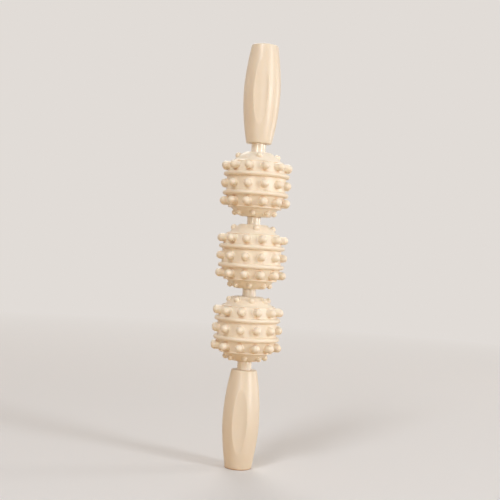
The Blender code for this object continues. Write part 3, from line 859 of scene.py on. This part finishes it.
def stage_finish():
    """Pale to the eye and in reflections, and a warm card to scattered light, as in a warm studio.

    The eye sees a lit floor round the object, which fades outwards to a plain backdrop.
    """
    finish = bpy.data.materials.new("stage_paint")
    finish.use_nodes = True
    tree = finish.node_tree
    tree.nodes.clear()
    path = node(tree, "ShaderNodeLightPath").outputs
    seen = path["Is Camera Ray"]
    for kind in ("Is Glossy Ray", "Is Transmission Ray"):
        either = node(tree, "ShaderNodeMath", operation="MAXIMUM")
        tree.links.new(seen, either.inputs[0])
        tree.links.new(path[kind], either.inputs[1])
        seen = either.outputs[0]
    local = node(tree, "ShaderNodeTexCoord").outputs["Object"]
    away = node(tree, "ShaderNodeVectorMath", {"Vector": local}, operation="LENGTH").outputs["Value"]
    far = ranged(tree, away, 0.0, 1.0, LIT_FLOOR_RADIUS, BACKDROP_RADIUS)
    pale = node(tree, "ShaderNodeBsdfDiffuse", {"Color": STAGE_PALE})
    backdrop = node(tree, "ShaderNodeEmission", {"Color": BACKDROP_PALE})
    shown = node(tree, "ShaderNodeMixShader", {"Fac": far})
    card = node(tree, "ShaderNodeBsdfDiffuse", {"Color": STAGE_BOUNCE})
    mixed = node(tree, "ShaderNodeMixShader", {"Fac": seen})
    surface = node(tree, "ShaderNodeOutputMaterial").inputs["Surface"]
    tree.links.new(pale.outputs[0], shown.inputs[1])
    tree.links.new(backdrop.outputs[0], shown.inputs[2])
    tree.links.new(card.outputs[0], mixed.inputs[1])
    tree.links.new(shown.outputs[0], mixed.inputs[2])
    tree.links.new(mixed.outputs[0], surface)
    return finish


def make_stage():
    """A floor that curves up into a round wall, so that no horizon shows from any side."""
    corners = [(0, 0, 0), (STAGE_RADIUS, 0, STAGE_CURVE), (STAGE_RADIUS, STAGE_HEIGHT, 0)]
    outline = rounded(corners, closed=False)
    mesh = welded_mesh("stage", [turned_grid(outline, full_circle(SHAFT_SIDES))])
    mesh.materials.append(stage_finish())
    stage = bpy.data.objects.new("stage", mesh)
    bpy.context.scene.collection.objects.link(stage)


# Lamps: where each stands as seen from the stick, in degrees and metres, its width and height, and how
# brightly it lights a white card at the stick's middle. A tall key on the right, a small lamp above on the
# left, a front fill, a rim strip and a back fill.
Lamp = namedtuple("Lamp", "azimuth elevation distance size level colour")
LAMPS = {
    "key": Lamp(60, 8, 2.0, (0.5, 1.8), level=0.67, colour=(0.93, 0.965, 0.99)),
    "top": Lamp(-22, 42, 2.0, (0.4, 0.6), level=0.27, colour=(0.94, 0.97, 1.0)),
    "front": Lamp(-14, 4, 2.4, (0.5, 0.9), level=0.21, colour=(0.98, 0.98, 0.97)),
    "rim": Lamp(115, 5, 1.5, (0.30, 1.0), level=0.24, colour=(1.0, 0.98, 0.95)),
    "back": Lamp(190, 42, 2.4, (1.0, 1.0), level=0.24, colour=(1.0, 0.99, 0.97)),
}
SKY_COLOUR = (1.0, 0.95, 0.87, 1.0)
SKY_STRENGTH = 0.54


def make_lamp(name, lamp):
    """A soft box that faces the stick's middle."""
    middle = Vector((0, 0, STICK_LENGTH / 2))
    turn, lift = math.radians(lamp.azimuth), math.radians(lamp.elevation)
    out = Vector((math.sin(turn) * math.cos(lift), -math.cos(turn) * math.cos(lift), math.sin(lift)))
    light = bpy.data.lights.new(name, "AREA")
    light.shape = "RECTANGLE"
    light.size, light.size_y = lamp.size
    light.energy = lamp.level * (math.pi * lamp.distance) ** 2
    light.color = lamp.colour
    made = bpy.data.objects.new(name, light)
    made.location = middle + out * lamp.distance
    made.rotation_euler = (-out).to_track_quat("-Z", "Y").to_euler()
    made.visible_camera = False
    bpy.context.scene.collection.objects.link(made)


def make_lights():
    """The lamps and an even, faintly warm sky."""
    for name, lamp in LAMPS.items():
        make_lamp(name, lamp)
    world = bpy.context.scene.world or bpy.data.worlds.new("world")
    bpy.context.scene.world = world
    world.use_nodes = True
    sky = world.node_tree.nodes["Background"]
    sky.inputs["Color"].default_value = SKY_COLOUR
    sky.inputs["Strength"].default_value = SKY_STRENGTH


# Camera: at the photo's viewing angle, with the lens shift kept at 0
CAMERA_DISTANCE = 0.91
CAMERA_HEIGHT = 0.205
CAMERA_AZIMUTH = math.radians(3.9)
CAMERA_AIM = (-0.0018, 0.0, 0.2062)
CAMERA_ROLL = math.radians(3.73)
SENSOR_WIDTH = 36.0
FOCAL_LENGTH = 69.2


def make_camera():
    """The camera of the photo's view, turned about its own axis as the photo's is."""
    camera = bpy.data.objects.new("camera", bpy.data.cameras.new("camera"))
    camera.data.sensor_width = SENSOR_WIDTH
    camera.data.lens = FOCAL_LENGTH
    turn = Matrix.Rotation(CAMERA_AZIMUTH, 4, "Z")
    place = turn @ Vector((0, -CAMERA_DISTANCE, CAMERA_HEIGHT))
    look = (turn @ Vector(CAMERA_AIM) - place).to_track_quat("-Z", "Y")
    roll = Matrix.Rotation(CAMERA_ROLL, 4, "Z")
    camera.matrix_world = Matrix.Translation(place) @ look.to_matrix().to_4x4() @ roll
    bpy.context.scene.collection.objects.link(camera)
    bpy.context.scene.camera = camera


dress_stick()
dress_balls()
dress_hidden_nodes()
make_stage()
make_lights()
make_camera()
bpy.context.scene.view_settings.view_transform = "Standard"
